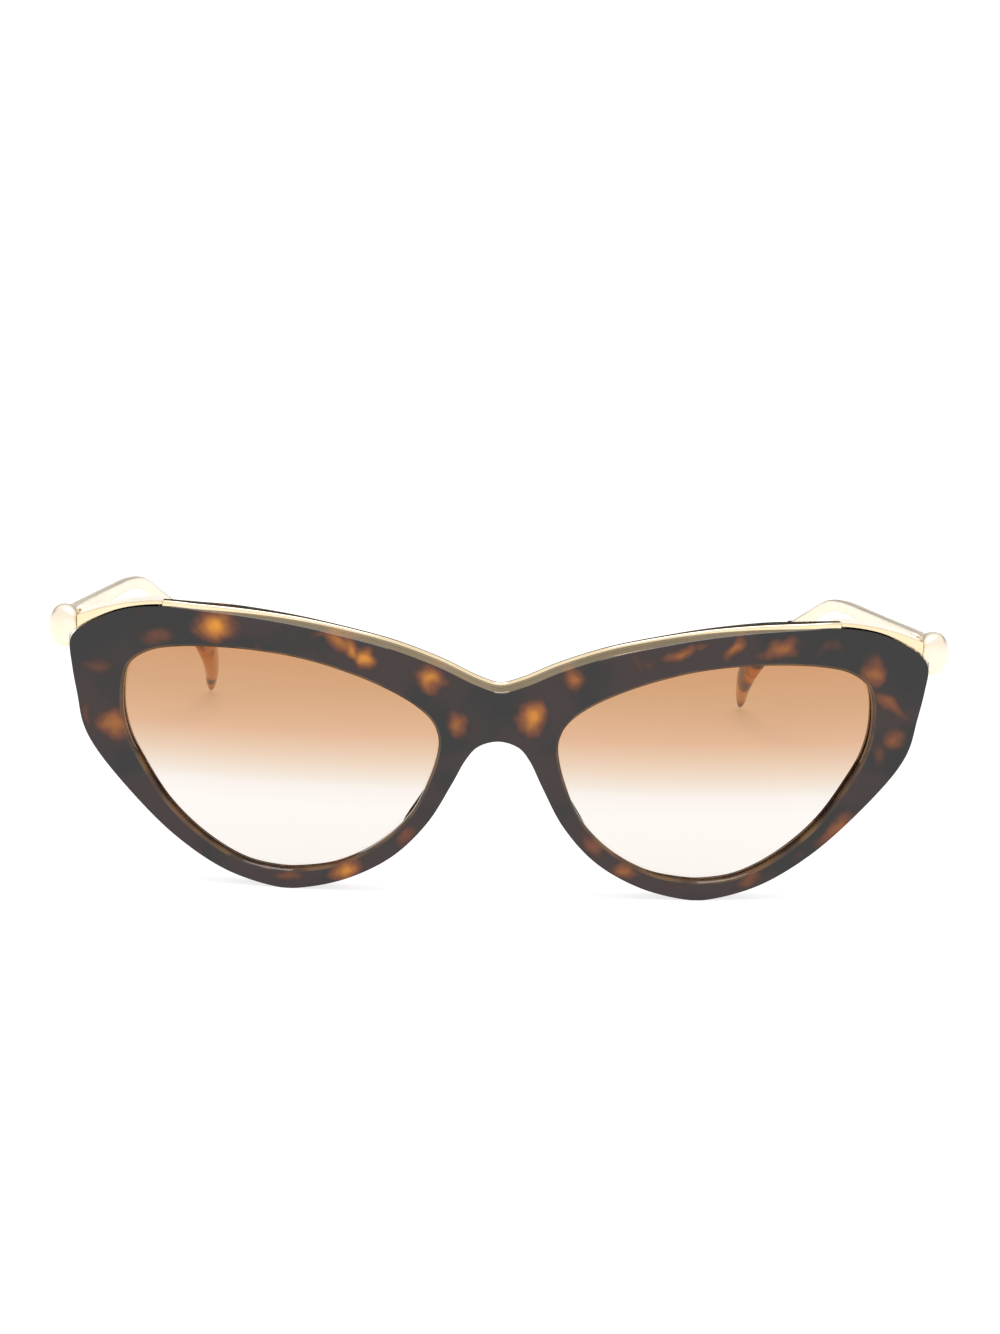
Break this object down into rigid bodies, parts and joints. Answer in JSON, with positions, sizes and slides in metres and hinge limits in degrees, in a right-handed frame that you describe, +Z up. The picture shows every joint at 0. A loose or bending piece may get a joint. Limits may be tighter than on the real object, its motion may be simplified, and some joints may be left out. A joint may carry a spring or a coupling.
{
  "type": "cat eye sunglasses",
  "caption": "Cat eye sunglasses with a tortoise acetate front, a gold brow bar, gradient lenses and folding slim temples on screwed hinges.",
  "frame": {"origin": "on the table plane under the middle of the whole object, temples open", "axes": "+X towards the wearer's left, +Y back along the temples, +Z up"},
  "size_m": [0.1524, 0.1398, 0.0482],
  "materials": {
    "acetate": "polished tortoise acetate",
    "nose_pad": "polished tortoise acetate",
    "lens": "brown gradient tint, clear towards the bottom",
    "gold": "polished pale gold plating"
  },
  "bodies": {
    "front": {"front_frame": "acetate", "brow_bar": "gold", "lens_left": "lens", "lens_right": "lens", "nose_pad_left": "nose_pad", "nose_pad_right": "nose_pad", "endpiece_left": "gold", "endpiece_right": "gold", "front_hinge_leaf_left": "gold", "front_hinge_leaf_right": "gold", "leaf_screw_lower_left": "gold", "leaf_screw_lower_right": "gold", "leaf_screw_upper_left": "gold", "leaf_screw_upper_right": "gold", "hinge_screw_left": "gold", "hinge_screw_right": "gold"},
    "left_temple": {"temple_hinge_leaf_left": "gold", "hinge_cap_left": "gold", "temple_arm_left": "gold", "temple_tip_left": "acetate"},
    "right_temple": {"temple_hinge_leaf_right": "gold", "hinge_cap_right": "gold", "temple_arm_right": "gold", "temple_tip_right": "acetate"}
  },
  "joints": [
    {"name": "left_temple_fold", "type": "hinge", "parent": "front", "child": "left_temple", "pos_m": [0.0692, -0.05386, 0.0419], "axis": [0, 0.1357, 0.9907], "range_deg": [0, 82]},
    {"name": "right_temple_fold", "type": "hinge", "parent": "front", "child": "right_temple", "pos_m": [-0.0692, -0.05386, 0.0419], "axis": [0, -0.1357, -0.9907], "range_deg": [0, 76]}
  ]
}
